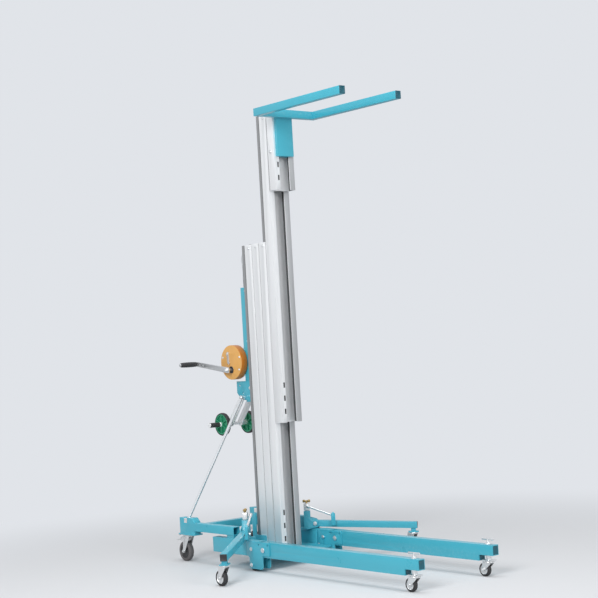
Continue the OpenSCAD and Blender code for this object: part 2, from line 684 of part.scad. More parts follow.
// round cover over the gear, with the pin of the pawl lever on its face
module winch_cover() {
    color([0.93, 0.55, 0.16]) placed() difference() {
        union() {
            difference() {
                ybar(-drum_x, drum_z, cover_y1, cover_y0, cover_r);
                ybar(-drum_x, drum_z, cover_y1 + 5, cover_y0 + e, cover_r - 4);
            }
            ybar(-drum_x - 26, drum_z + 52, cover_y1 - 8, cover_y1 + 2, 5);
            ybar(-drum_x - 26, drum_z + 52, cover_y1 - 12, cover_y1 - 7, 9);
            ybar(-drum_x, crank_z, cover_y1 - 5, cover_y1 + 2, 22);
        }
        ybar(-drum_x, crank_z, cover_y1 - 20, cover_y1 + 20, 9 + fit);
    }
}
module winch_pawl() {
    zinc() translate([-drum_x - 26, 0, drum_z + 52]) difference() {
        xzplate(cover_y1 - 6, cover_y1 - 1) polygon([[-9, 14], [9, 14], [9, -44], [16, -56], [4, -66], [-9, -54]]);
        ybar(0, 0, cover_y1 - 10, cover_y1 + 5, 5 + fit);
        box([-3, cover_y1 - 10, -46], [3, cover_y1 + 5, -14]);
    }
}

// crank arm with its shaft, pinion and grip pin
module winch_crank() {
    ya = crank_y;
    zinc() translate([-drum_x, 0, crank_z]) {
        ybar(0, 0, ya + e, cover_y0 - 10, 9);
        ybar(0, 0, cover_y0 - 20, cover_y0 - 9, 16);
        ybar(0, 0, ya - 8, ya - 2, 16);
        rotate([0, crank_tilt, 0]) {
            difference() {
                xzplate(ya - 4, ya + 4) polygon([[20, -14], [20, 14], [8, 18], [-crank_l + 6, 15], [-crank_l - 14, 9],
                    [-crank_l - 14, -9], [-crank_l + 6, -15], [8, -18]]);
                for (x = [36, 74]) ybar(x - crank_l, 0, ya - 8, ya + 8, 6);
            }
            ybar(-crank_l, 0, ya - 130, ya + 6, 6);
            ybar(-crank_l, 0, ya - 134, ya - 129.5, 10);
        }
    }
}
module crank_grip() {
    ya = crank_y;
    black() translate([-drum_x, 0, crank_z]) rotate([0, crank_tilt, 0]) translate([-crank_l, ya - 5, 0]) rotate([90, 0, 0])
        rotate_extrude() polygon([[6 + fit, 0], [13, 0], [16, 8], [15, 30], [17, 62], [15, 100], [16, 116], [12, 124],
            [6 + fit, 124]]);
}

// brace from the gusset plate down to the notch in the rear box
module brace(s) {
    zinc() side(s) {
        ybar(brace_top[0], brace_top[2], arm_y, brace_top[1] + 9, 13);
        bar(brace_top, brace_foot, 10);
        box([rear_x - 15.5, leg_y - tube_w / 2, top_z + box_h - 32],
            [rear_x + 15.5, leg_y + tube_w / 2, top_z + box_h - 4]);
    }
}
module brace_left() { brace(1); }
module brace_right() { brace(-1); }

// two arms between the gussets with the through axle, its spacers and its end grips
module transport_frame() {
    y1 = post_w / 2 - 0.5;
    alloy() {
        for (t = [-1, 1]) {
            xzplate(t > 0 ? y1 - 8 : -y1, t > 0 ? y1 : -y1 + 8) polygon([[post_x0 - 4, post_z + 54],
                [post_x0 - 4, post_z + 76], [-150, post_z + 76], [-trans_x - 18, trans_z + 14], [-trans_x - 20, trans_z - 6],
                [-trans_x - 4, trans_z - 20], [-trans_x + 18, trans_z - 14]]);
            side(t) ybar(-trans_x, trans_z, y1 - e, trans_y - 17, 14);
            side(t) ybar(-trans_x, trans_z, trans_y + 16, trans_y + 23, 15);
            side(t) ybar(-trans_x, trans_z, trans_y + 27, trans_y + 106, 14);
        }
        ybar(-trans_x, trans_z, -trans_y - 100, trans_y + 100, 10);
    }
}
module transport_wheel(s) {
    color([0.16, 0.62, 0.34]) placed() side(s)
        translate([-trans_x, trans_y, trans_z]) wheel(trans_r, 30, 10 + fit, 5);
}
module transport_wheel_left() { transport_wheel(1); }
module transport_wheel_right() { transport_wheel(-1); }

// rope from the drum up over the top sheave and down inside the rail of column 1
module rope() {
    zinc() {
        translate([rope_x, 0, drum_z]) cylinder(h = sheave_z - drum_z + 0.3, r = rope_r);
        translate([sheave_x, 0, sheave_z]) rotate([90, 0, 0]) rotate_extrude(angle = 180)
            translate([sheave_r, 0]) circle(r = rope_r - 0.05);
        translate([rope_in, 0, tube_z]) cylinder(h = sheave_z - tube_z + 0.3, r = rope_r);
    }
}
module top_sheave() {
    r = sheave_r - rope_r - 0.4;
    zinc() translate([sheave_x, 0, sheave_z]) rotate([90, 0, 0]) rotate_extrude()
        polygon([[7 + fit, -6.5], [r + 6, -6.5], [r + 6, -5.5], [r, -2.6], [r, 2.6], [r + 6, 5.5], [r + 6, 6.5], [7 + fit, 6.5]]);
}

// two plates that hold the sheave pin on the back of column 1
module sheave_bracket() {
    zinc() {
        for (t = [-1, 1]) {
            y0 = t > 0 ? 9 : -13;
            xzplate(y0, y0 + 4) polygon([[rail_x0, sheave_z - 70], [rail_x0, sheave_z + 50], [sheave_x - 10, sheave_z + 50],
                [sheave_x - 26, sheave_z + 20], [sheave_x - 26, sheave_z - 24], [sheave_x, sheave_z - 70]]);
        }
        for (t = [-1, 1]) box([rail_x0 - 4, t > 0 ? 9 : -34, sheave_z - 70], [rail_x0, t > 0 ? 34 : -9, sheave_z + 50]);
        ybar(sheave_x, sheave_z, -18, 18, 7);
    }
}

base_tube_left();
base_tube_right();
rear_beam_left();
rear_beam_right();
rear_cross_beam();
mast_tray();
hinge_bracket_left();
hinge_bracket_right();
upright_left();
upright_right();
roller_left();
roller_right();
leg_left();
leg_right();
leg_screw_left();
leg_screw_right();
front_fork_left();
front_fork_right();
front_wheel_left();
front_wheel_right();
stabilizer_left();
stabilizer_right();
strut_left();
strut_right();
stab_fork_left();
stab_fork_right();
stab_wheel_left();
stab_wheel_right();
latch_left();
latch_right();
rear_fork_left();
rear_fork_right();
rear_wheel_left();
rear_wheel_right();
brake_left();
brake_right();
column_1();
column_2();
column_3();
column_4();
carriage();
fork_frame();
fork_left();
fork_right();
winch_post();
winch_frame();
winch_drum();
drum_rope();
winch_cover();
winch_crank();
crank_grip();
winch_pawl();
brace_left();
brace_right();
transport_frame();
transport_wheel_left();
transport_wheel_right();
rope();
top_sheave();
sheave_bracket();
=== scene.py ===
"""Material hoist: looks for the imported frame. Metres, +X front, +Y left, +Z up, floor at Z = 0."""
import json
import math

import bmesh
import bpy
from mathutils import Matrix, Vector
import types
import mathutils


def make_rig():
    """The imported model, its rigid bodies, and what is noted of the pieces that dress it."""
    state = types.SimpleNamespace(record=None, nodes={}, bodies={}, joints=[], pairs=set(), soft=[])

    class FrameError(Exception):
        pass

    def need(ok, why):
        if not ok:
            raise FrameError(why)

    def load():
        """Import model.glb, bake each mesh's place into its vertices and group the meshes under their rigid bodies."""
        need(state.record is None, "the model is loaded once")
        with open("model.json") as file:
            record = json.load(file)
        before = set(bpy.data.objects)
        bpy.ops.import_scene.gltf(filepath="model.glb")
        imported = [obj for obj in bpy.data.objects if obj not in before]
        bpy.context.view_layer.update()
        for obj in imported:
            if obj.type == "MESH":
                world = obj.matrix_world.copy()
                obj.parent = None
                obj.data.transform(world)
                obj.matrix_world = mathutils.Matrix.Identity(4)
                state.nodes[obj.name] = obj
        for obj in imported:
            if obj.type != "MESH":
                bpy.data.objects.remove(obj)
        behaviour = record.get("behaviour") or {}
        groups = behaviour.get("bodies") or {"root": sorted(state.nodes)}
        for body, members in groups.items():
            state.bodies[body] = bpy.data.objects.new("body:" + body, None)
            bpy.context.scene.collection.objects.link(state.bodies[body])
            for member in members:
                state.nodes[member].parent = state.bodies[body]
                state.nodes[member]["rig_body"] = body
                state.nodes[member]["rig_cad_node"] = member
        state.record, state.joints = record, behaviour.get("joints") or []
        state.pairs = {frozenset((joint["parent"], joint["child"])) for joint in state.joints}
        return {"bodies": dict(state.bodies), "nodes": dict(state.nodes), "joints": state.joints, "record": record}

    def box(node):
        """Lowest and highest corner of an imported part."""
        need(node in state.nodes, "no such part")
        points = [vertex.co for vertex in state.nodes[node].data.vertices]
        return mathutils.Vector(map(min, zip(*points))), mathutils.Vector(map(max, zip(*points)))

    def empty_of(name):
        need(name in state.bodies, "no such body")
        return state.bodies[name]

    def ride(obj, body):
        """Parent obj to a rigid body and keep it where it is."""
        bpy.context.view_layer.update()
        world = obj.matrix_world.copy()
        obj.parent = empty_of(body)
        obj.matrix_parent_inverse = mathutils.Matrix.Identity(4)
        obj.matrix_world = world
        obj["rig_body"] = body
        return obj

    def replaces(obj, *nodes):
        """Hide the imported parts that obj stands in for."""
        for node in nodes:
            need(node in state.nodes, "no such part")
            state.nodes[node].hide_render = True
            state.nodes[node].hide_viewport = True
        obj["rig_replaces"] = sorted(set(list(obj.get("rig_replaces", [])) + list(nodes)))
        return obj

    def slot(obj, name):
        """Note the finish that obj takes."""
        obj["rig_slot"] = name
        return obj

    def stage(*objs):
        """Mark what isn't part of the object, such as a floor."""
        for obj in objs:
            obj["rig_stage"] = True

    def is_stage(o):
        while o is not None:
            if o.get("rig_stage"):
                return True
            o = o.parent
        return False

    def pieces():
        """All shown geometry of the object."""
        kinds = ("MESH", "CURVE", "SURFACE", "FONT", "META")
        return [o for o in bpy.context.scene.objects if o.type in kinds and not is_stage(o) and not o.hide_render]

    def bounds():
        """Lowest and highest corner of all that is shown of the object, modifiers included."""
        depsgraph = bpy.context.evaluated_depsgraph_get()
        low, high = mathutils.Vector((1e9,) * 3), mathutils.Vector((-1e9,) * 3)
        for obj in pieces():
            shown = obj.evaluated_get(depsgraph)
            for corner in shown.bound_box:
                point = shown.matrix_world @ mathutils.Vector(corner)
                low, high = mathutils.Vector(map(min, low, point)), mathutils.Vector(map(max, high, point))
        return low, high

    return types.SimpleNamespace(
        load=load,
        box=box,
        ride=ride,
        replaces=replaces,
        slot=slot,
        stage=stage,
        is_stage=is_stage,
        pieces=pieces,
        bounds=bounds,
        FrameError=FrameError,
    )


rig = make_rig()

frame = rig.load()
cad_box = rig.bounds()
scene = bpy.context.scene
scene.view_settings.view_transform = "Standard"


# Camera: a long lens at chest height, ahead of the hoist and to its right.
# Azimuth 50.69, pitch up 1.91 and roll -3.32 degrees, focal length 1425.85 pixels on a 598 by 598 image.
SENSOR_MM, FOCAL_PX, IMAGE_PX = 36, 1425.85, 598
azimuth, pitch, roll = (math.radians(v) for v in (50.69, 1.91, -3.32))
ahead = Vector((-math.sin(azimuth) * math.cos(pitch), math.cos(azimuth) * math.cos(pitch), math.sin(pitch)))
right = Vector((math.cos(azimuth), math.sin(azimuth), 0))
up = right.cross(ahead)
right, up = right * math.cos(roll) + up * math.sin(roll), up * math.cos(roll) - right * math.sin(roll)
cam = bpy.data.objects.new("camera", bpy.data.cameras.new("camera"))
scene.collection.objects.link(cam)
cam.data.sensor_width = SENSOR_MM
cam.data.lens = FOCAL_PX / IMAGE_PX * SENSOR_MM
cam.data.clip_end = 60
cam.matrix_world = Matrix((
    (right.x, up.x, -ahead.x, 6.5081), (right.y, up.y, -ahead.y, -5.4131), (right.z, up.z, -ahead.z, 1.3116),
    (0, 0, 0, 1)))
scene.camera = cam


# Stage: a pale floor under a pale surround, with soft lamps above the camera, to its right and overhead.
# The surround shows its own colour to the camera and in reflections, and the floor runs out into it.
BACKDROP = (0.752, 0.776, 0.815, 1)


def empty_tree(owner):
    owner.use_nodes = True
    owner.node_tree.nodes.clear()
    return owner.node_tree


scene.world = bpy.data.worlds.new("studio")
t = empty_tree(scene.world)
w_out = t.nodes.new("ShaderNodeOutputWorld")
w_path = t.nodes.new("ShaderNodeLightPath")
w_seen = t.nodes.new("ShaderNodeMath")
w_seen.operation = "MAXIMUM"
w_any = t.nodes.new("ShaderNodeMath")
w_any.operation = "MAXIMUM"
w_back = t.nodes.new("ShaderNodeBackground")
w_back.inputs["Color"].default_value = BACKDROP
w_fill = t.nodes.new("ShaderNodeBackground")
w_fill.inputs["Color"].default_value = (0.96, 0.98, 1, 1)
w_fill.inputs["Strength"].default_value = 0.42
w_mix = t.nodes.new("ShaderNodeMixShader")
for a, b in ((w_path.outputs["Is Camera Ray"], w_seen.inputs[0]),
             (w_path.outputs["Is Transmission Ray"], w_seen.inputs[1]),
             (w_seen.outputs[0], w_any.inputs[0]), (w_path.outputs["Is Glossy Ray"], w_any.inputs[1]),
             (w_any.outputs[0], w_mix.inputs[0]), (w_fill.outputs[0], w_mix.inputs[1]),
             (w_back.outputs[0], w_mix.inputs[2]), (w_mix.outputs[0], w_out.inputs[0])):
    t.links.new(a, b)


def lamp(name, place, target, size, power):
    data = bpy.data.lights.new(name, "AREA")
    data.size = size
    data.energy = power
    ob = bpy.data.objects.new(name, data)
    scene.collection.objects.link(ob)
    ob.location = place
    ob.rotation_euler = (Vector(target) - Vector(place)).to_track_quat("-Z", "Y").to_euler()


lamp("key", (3.6, -6.9, 4.6), (0, 0, 1.2), 3.2, 430)
lamp("front", (7.6, -0.4, 3.8), (0, 0, 1.2), 2.6, 140)
lamp("top", (0.5, -0.5, 7.0), (0, 0, 0), 4.0, 160)

floor_look = bpy.data.materials.new("floor")
t = empty_tree(floor_look)
f_out = t.nodes.new("ShaderNodeOutputMaterial")
f_plain = t.nodes.new("ShaderNodeBsdfDiffuse")
f_plain.inputs["Color"].default_value = (0.715, 0.725, 0.745, 1)
f_away = t.nodes.new("ShaderNodeEmission")
f_away.inputs["Color"].default_value = BACKDROP
f_co = t.nodes.new("ShaderNodeTexCoord")
f_far = t.nodes.new("ShaderNodeVectorMath")
f_far.operation = "LENGTH"
f_range = t.nodes.new("ShaderNodeMapRange")
f_range.interpolation_type = "SMOOTHSTEP"
f_range.inputs["From Min"].default_value = 1.2
f_range.inputs["From Max"].default_value = 4.2
f_path = t.nodes.new("ShaderNodeLightPath")
f_seen = t.nodes.new("ShaderNodeMath")
f_seen.operation = "MULTIPLY"
f_mix = t.nodes.new("ShaderNodeMixShader")
for a, b in ((f_co.outputs["Object"], f_far.inputs[0]), (f_far.outputs["Value"], f_range.inputs["Value"]),
             (f_range.outputs[0], f_seen.inputs[0]), (f_path.outputs["Is Camera Ray"], f_seen.inputs[1]),
             (f_seen.outputs[0], f_mix.inputs[0]), (f_plain.outputs[0], f_mix.inputs[1]),
             (f_away.outputs[0], f_mix.inputs[2]), (f_mix.outputs[0], f_out.inputs[0])):
    t.links.new(a, b)
bpy.ops.mesh.primitive_plane_add(size=60, location=(0, 0, -0.0005))
floor = bpy.context.object
floor.name = "floor"
floor.data.materials.append(floor_look)
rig.stage(floor)


# Base: two square tubes, the rear beams with their caster boxes, a cross beam and the tray under the mast.
# Welded steel tube and plate in turquoise powder coat, with rolled corners and ripple welds.
COL, NUM, VEC = "NodeSocketColor", "NodeSocketFloat", "NodeSocketVector"


def shader_group(name, inputs, outputs):
    g = bpy.data.node_groups.new(name, "ShaderNodeTree")
    for label, kind, value in inputs:
        g.interface.new_socket(label, in_out="INPUT", socket_type=kind).default_value = value
    for label, kind in outputs:
        g.interface.new_socket(label, in_out="OUTPUT", socket_type=kind)
    return g, g.nodes.new("NodeGroupInput"), g.nodes.new("NodeGroupOutput")


grain, g_in, g_out = shader_group(
    "grain", [("Stretch", VEC, (1, 1, 1)), ("Scale", NUM, 40), ("Low", NUM, 0.3), ("High", NUM, 0.5)],
    [("Fac", NUM), ("Roughness", NUM)])
g_co = grain.nodes.new("ShaderNodeTexCoord")
g_pull = grain.nodes.new("ShaderNodeVectorMath")
g_pull.operation = "MULTIPLY"
g_noise = grain.nodes.new("ShaderNodeTexNoise")
g_noise.inputs["Detail"].default_value = 6
g_noise.inputs["Roughness"].default_value = 0.6
g_range = grain.nodes.new("ShaderNodeMapRange")
g_range.inputs["From Min"].default_value = 0.3
g_range.inputs["From Max"].default_value = 0.7
for a, b in ((g_co.outputs["Object"], g_pull.inputs[0]), (g_in.outputs["Stretch"], g_pull.inputs[1]),
             (g_pull.outputs[0], g_noise.inputs["Vector"]), (g_in.outputs["Scale"], g_noise.inputs["Scale"]),
             (g_noise.outputs["Fac"], g_range.inputs["Value"]), (g_in.outputs["Low"], g_range.inputs["To Min"]),
             (g_in.outputs["High"], g_range.inputs["To Max"]), (g_noise.outputs["Fac"], g_out.inputs["Fac"]),
             (g_range.outputs[0], g_out.inputs["Roughness"])):
    grain.links.new(a, b)

wear, w_in, w_end = shader_group(
    "edge_wear", [("Color", COL, (0.5, 0.5, 0.5, 1)), ("Bare", COL, (0.6, 0.6, 0.6, 1)), ("Amount", NUM, 0.3)],
    [("Color", COL), ("Mask", NUM)])
w_geo = wear.nodes.new("ShaderNodeNewGeometry")
w_edge = wear.nodes.new("ShaderNodeMapRange")
w_edge.inputs["From Min"].default_value = 0.56
w_edge.inputs["From Max"].default_value = 0.66
w_co = wear.nodes.new("ShaderNodeTexCoord")
w_noise = wear.nodes.new("ShaderNodeTexNoise")
w_noise.inputs["Scale"].default_value = 55
w_noise.inputs["Detail"].default_value = 5
w_chip = wear.nodes.new("ShaderNodeMapRange")
w_chip.inputs["From Min"].default_value = 0.48
w_chip.inputs["From Max"].default_value = 0.68
w_both = wear.nodes.new("ShaderNodeMath")
w_both.operation = "MULTIPLY"
w_much = wear.nodes.new("ShaderNodeMath")
w_much.operation = "MULTIPLY"
w_blend = wear.nodes.new("ShaderNodeMix")
w_blend.data_type = "RGBA"
for a, b in ((w_geo.outputs["Pointiness"], w_edge.inputs["Value"]),
             (w_co.outputs["Object"], w_noise.inputs["Vector"]),
             (w_noise.outputs["Fac"], w_chip.inputs["Value"]), (w_edge.outputs[0], w_both.inputs[0]),
             (w_chip.outputs[0], w_both.inputs[1]), (w_both.outputs[0], w_much.inputs[0]),
             (w_in.outputs["Amount"], w_much.inputs[1]), (w_much.outputs[0], w_blend.inputs["Factor"]),
             (w_in.outputs["Color"], w_blend.inputs[6]), (w_in.outputs["Bare"], w_blend.inputs[7]),
             (w_blend.outputs[2], w_end.inputs["Color"]), (w_much.outputs[0], w_end.inputs["Mask"])):
    wear.links.new(a, b)


def finish(name, dark, light, bare, metallic, rough, stretch=(1, 1, 1), scale=40, bump=0.1, fine=300, worn=0.3,
           coat=0.0):
    """Colour between dark and light by the grain, the bare colour on worn edges, and a fine bump of its own scale."""
    m = bpy.data.materials.new(name)
    tree = empty_tree(m)
    out = tree.nodes.new("ShaderNodeOutputMaterial")
    bsdf = tree.nodes.new("ShaderNodeBsdfPrincipled")
    bsdf.inputs["Metallic"].default_value = metallic
    bsdf.inputs["Coat Weight"].default_value = coat
    bsdf.inputs["Coat Roughness"].default_value = 0.12
    gr = tree.nodes.new("ShaderNodeGroup")
    gr.node_tree = grain
    gr.inputs["Stretch"].default_value = stretch
    gr.inputs["Scale"].default_value = scale
    gr.inputs["Low"].default_value, gr.inputs["High"].default_value = rough
    mix = tree.nodes.new("ShaderNodeMix")
    mix.data_type = "RGBA"
    mix.inputs[6].default_value = (*dark, 1)
    mix.inputs[7].default_value = (*light, 1)
    we = tree.nodes.new("ShaderNodeGroup")
    we.node_tree = wear
    we.inputs["Bare"].default_value = (*bare, 1)
    we.inputs["Amount"].default_value = worn
    coord = tree.nodes.new("ShaderNodeTexCoord")
    pull = tree.nodes.new("ShaderNodeVectorMath")
    pull.operation = "MULTIPLY"
    pull.inputs[1].default_value = stretch
    noise = tree.nodes.new("ShaderNodeTexNoise")
    noise.inputs["Scale"].default_value = fine
    noise.inputs["Detail"].default_value = 3
    rise = tree.nodes.new("ShaderNodeBump")
    rise.inputs["Strength"].default_value = bump
    rise.inputs["Distance"].default_value = 0.001
    for a, b in ((gr.outputs["Fac"], mix.inputs["Factor"]), (mix.outputs[2], we.inputs["Color"]),
                 (we.outputs["Color"], bsdf.inputs["Base Color"]),
                 (gr.outputs["Roughness"], bsdf.inputs["Roughness"]),
                 (coord.outputs["Object"], pull.inputs[0]), (pull.outputs[0], noise.inputs["Vector"]),
                 (noise.outputs["Fac"], rise.inputs["Height"]), (rise.outputs[0], bsdf.inputs["Normal"]),
                 (bsdf.outputs[0], out.inputs["Surface"])):
        tree.links.new(a, b)
    return m


paint = finish("turquoise_paint", (0.042, 0.372, 0.485), (0.058, 0.408, 0.522), (0.30, 0.62, 0.68), 0.0, (0.26, 0.38),
               scale=7, bump=0.05, fine=420, worn=0.15, coat=0.25)


def X(x, y, z):
    """A point of the drawing, in millimetres from the rear face of the first column."""
    return Vector(((x - 519.5) / 1000, y / 1000, z / 1000))


def alone(ob):
    """Makes one object the only selected one, and the active one."""
    bpy.ops.object.select_all(action="DESELECT")
    ob.select_set(True)
    bpy.context.view_layer.objects.active = ob


def rounded(ob, width, segments=2, angle=40):
    """Breaks the sharp edges by a bevel modifier and shades the rest smooth."""
    alone(ob)
    mod = ob.modifiers.new("broken_edges", "BEVEL")
    mod.width = width
    mod.segments = segments
    mod.limit_method = "ANGLE"
    mod.angle_limit = math.radians(angle)
    bpy.ops.object.modifier_apply(modifier=mod.name)
    bpy.ops.object.shade_smooth_by_angle(angle=math.radians(35))
    return ob


def carried(ob, body, slot, *replaced):
    """Puts a piece on its body, with its slot and the nodes that it stands for."""
    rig.slot(ob, slot)
    if replaced:
        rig.replaces(ob, *replaced)
    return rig.ride(ob, body)


def dressed(node, look, slot, width, segments=2, corner=None):
    """A merged copy of a solid with its edges broken, in its finish; the edges that pass a test get wide corners."""
    solid = frame["nodes"][node]
    ob = bpy.data.objects.new(node + "_look", solid.data.copy())
    scene.collection.objects.link(ob)
    ob.data.materials.clear()
    ob.data.materials.append(look)
    alone(ob)
    bpy.ops.object.mode_set(mode="EDIT")
    bpy.ops.mesh.select_all(action="SELECT")
    bpy.ops.mesh.remove_doubles(threshold=2e-6)
    bpy.ops.mesh.dissolve_limited(angle_limit=math.radians(0.6))
    if corner:
        bpy.ops.mesh.select_all(action="DESELECT")
        bpy.ops.object.mode_set(mode="OBJECT")
        at = ob.data.vertices
        for edge in ob.data.edges:
            edge.select = corner(*(at[i].co for i in edge.vertices))
        bpy.context.tool_settings.mesh_select_mode = (False, True, False)
        bpy.ops.object.mode_set(mode="EDIT")
        bpy.ops.mesh.bevel(offset=0.0060, segments=5)
    bpy.ops.object.mode_set(mode="OBJECT")
    rounded(ob, width, segments)
    return carried(ob, solid["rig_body"], slot, node)


def joined(name, parts):
    alone(parts[0])
    for ob in parts[1:]:
        ob.select_set(True)
    bpy.ops.object.join()
    ob = bpy.context.object
    ob.name = name
    return ob


def welds(name, body, runs, radius=0.0034):
    """Ripple welds: one flat bead, repeated along each run by an array."""
    beads = []
    for start, end in runs:
        bpy.ops.object.select_all(action="DESELECT")
        bpy.ops.mesh.primitive_uv_sphere_add(segments=8, ring_count=5, radius=radius)
        bead = bpy.context.object
        bead.data.transform(Matrix.Diagonal((1, 1, 0.62, 1)))
        row = bead.modifiers.new("ripples", "ARRAY")
        row.use_relative_offset = False
        row.use_constant_offset = True
        row.constant_offset_displace = (0, 0, 0.0021)
        row.count = max(4, int((end - start).length / 0.0021))
        alone(bead)
        bpy.ops.object.modifier_apply(modifier=row.name)
        bpy.ops.object.shade_smooth()
        bead.data.transform(Matrix.Translation(start) @ (end - start).to_track_quat("Z", "Y").to_matrix().to_4x4())
        bead.data.materials.append(paint)
        beads.append(bead)
    return carried(joined(name, beads), body, "turquoise_paint")


for side, s in (("left", 1), ("right", -1)):
    dressed(f"base_tube_{side}", paint, "turquoise_paint", 0.004, 3)
    dressed(f"rear_beam_{side}", paint, "turquoise_paint", 0.003)
    welds(f"beam_welds_{side}", "base", [
        (X(-40, s * 259, 176.5), X(28, s * 259, 176.5)), (X(-40, s * 299, 176.5), X(28, s * 299, 176.5)),
        (X(-377, s * 256, 196), X(-377, s * 302, 196)), (X(-377, s * 256, 246.5), X(-377, s * 302, 246.5))])
dressed("rear_cross_beam", paint, "turquoise_paint", 0.004, 3)
dressed("mast_tray", paint, "turquoise_paint", 0.0015)
welds("tray_welds", "base", [
    (X(-28, s * 84.5, 86), X(64, s * 84.5, 86)) for s in (1, -1)] + [
    (X(-80, s * 246, 150), X(-40, s * 246, 150)) for s in (1, -1)] + [
    (X(-440, s * 252, z), X(-394, s * 252, z)) for s in (1, -1) for z in (181, 229)])


# Leg hinges and fixed rollers: pairs of plates on the base tubes with a bolt through the leg,
# and below them a black roller that takes the load when the hoist is tipped and loaded.
zinc = finish("zinc_steel", (0.68, 0.69, 0.70), (0.79, 0.80, 0.80), (0.86, 0.86, 0.86), 0.9, (0.26, 0.40), scale=40,
              bump=0.05, fine=260, worn=0.15)
rubber = finish("black_rubber", (0.016, 0.016, 0.018), (0.034, 0.034, 0.036), (0.09, 0.09, 0.09), 0.0, (0.55, 0.8),
                scale=45, bump=0.25, fine=600, worn=0.5)
plastic = finish("black_plastic", (0.018, 0.018, 0.020), (0.028, 0.028, 0.031), (0.07, 0.07, 0.07), 0.0, (0.34, 0.5),
                 scale=50, bump=0.1, fine=900, worn=0.4)


LEG_Y = 279


def chosen(ob, test):
    """Opens edit mode with the faces selected whose centre and normal pass the test."""
    alone(ob)
    bpy.context.tool_settings.mesh_select_mode = (False, False, True)
    for part in (ob.data.vertices, ob.data.edges):
        part.foreach_set("select", [False] * len(part))
    for f in ob.data.polygons:
        f.select = bool(test(f.center, f.normal))
    bpy.ops.object.mode_set(mode="EDIT")


def bolted(name, body, places, radius, height, look=zinc, slot="zinc_steel"):
    """Hex heads on washers: one is modelled on the origin, then copied to each place and joined."""
    bpy.ops.object.select_all(action="DESELECT")
    bpy.ops.mesh.primitive_cylinder_add(vertices=6, radius=radius, depth=height * 0.7, location=(0, 0, height * 0.55))
    head = bpy.context.object
    bpy.ops.object.transform_apply()
    chosen(head, lambda c, n: n.z > 0.9)
    bpy.ops.mesh.inset(thickness=radius * 0.14, depth=height * 0.1)
    bpy.ops.mesh.inset(thickness=radius * 0.32, depth=0)
    bpy.ops.mesh.extrude_region_move(TRANSFORM_OT_translate={"value": (0, 0, height * 0.2)})
    bpy.ops.mesh.inset(thickness=radius * 0.08, depth=height * 0.06)
    bpy.ops.object.mode_set(mode="OBJECT")
    bpy.ops.object.select_all(action="DESELECT")
    bpy.ops.mesh.primitive_cylinder_add(vertices=32, radius=radius * 1.42, depth=height * 0.22,
                                        location=(0, 0, height * 0.11))
    washer = bpy.context.object
    bpy.ops.object.transform_apply()
    rounded(washer, height * 0.05, 1)
    head = joined(name + "_pattern", [head, washer])
    head.data.materials.append(look)
    copies = []
    for k, (place, axis) in enumerate(places):
        ob = bpy.data.objects.new(name, head.data.copy())
        scene.collection.objects.link(ob)
        turn = Vector((0, 0, 1)).rotation_difference(Vector(axis)).to_matrix().to_4x4()
        ob.data.transform(Matrix.Translation(place) @ turn @ Matrix.Rotation(0.35 + 0.7 * k, 4, "Z"))
        copies.append(ob)
    bpy.data.objects.remove(head)
    ob = joined(name, copies) if len(copies) > 1 else copies[0]
    alone(ob)
    bpy.ops.object.shade_smooth_by_angle(angle=math.radians(25))
    return carried(ob, body, slot)


def turned(name, outline, centre, axis, looks, steps=64):
    """A closed outline of (radius, height, look) spun about an axis through a centre."""
    along = Vector(axis).normalized()
    across = along.orthogonal().normalized()
    me = bpy.data.meshes.new(name)
    n = len(outline)
    me.from_pydata([centre + across * r + along * h for r, h, _ in outline], [(i, (i + 1) % n) for i in range(n)], [])
    ob = bpy.data.objects.new(name, me)
    scene.collection.objects.link(ob)
    alone(ob)
    bpy.ops.object.mode_set(mode="EDIT")
    bpy.ops.mesh.select_all(action="SELECT")
    bpy.ops.mesh.spin(steps=steps, angle=2 * math.pi, center=centre, axis=along, use_auto_merge=True)
    bpy.ops.mesh.select_all(action="SELECT")
    bpy.ops.mesh.remove_doubles(threshold=1e-6)
    bpy.ops.mesh.normals_make_consistent(inside=False)
    bpy.ops.object.mode_set(mode="OBJECT")
    for look in looks:
        ob.data.materials.append(look)
    middles = [((a[0] + b[0]) / 2, (a[1] + b[1]) / 2, a[2]) for a, b in zip(outline, outline[1:] + outline[:1])]
    for f in ob.data.polygons:
        d = f.center - centre
        h = d.dot(along)
        r = (d - along * h).length
        f.material_index = min(middles, key=lambda m: abs(m[0] - r) + abs(m[1] - h))[2]
    bpy.ops.object.shade_smooth_by_angle(angle=math.radians(38))
    return ob


def caster_wheel(node, r, w, bore, tyre, hub, slot):
    """A rubber tyre with round shoulders and a side groove on a dished hub with a boss round the axle."""
    lo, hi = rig.box(node)
    centre = (Vector(lo) + Vector(hi)) / 2
    h = w / 2
    half = [(bore, h, 1), (bore + 0.0062, h, 1), (bore + 0.0085, h - 0.0012, 1), (bore + 0.0095, h - 0.0048, 1),
            (0.60 * r, h - 0.0062, 1), (0.645 * r, h - 0.0030, 1), (0.685 * r, h - 0.0012, 1),
            (0.70 * r, h - 0.0030, 0), (0.73 * r, h - 0.0004, 0), (0.86 * r, h - 0.0004, 0),
            (0.88 * r, h - 0.0016, 0), (0.90 * r, h - 0.0008, 0),
            (0.955 * r, h - 0.0028, 0), (0.985 * r, h - 0.0062, 0), (0.998 * r, h * 0.5, 0), (r, 0.0, 0)]
    outline = half + [(a, -b, half[max(0, len(half) - 3 - i)][2]) for i, (a, b, _) in enumerate(half[-2::-1])]
    ob = turned(node + "_look", outline, centre, (0, 1, 0), [tyre, hub], 72)
    return carried(ob, frame["nodes"][node]["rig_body"], slot, node)


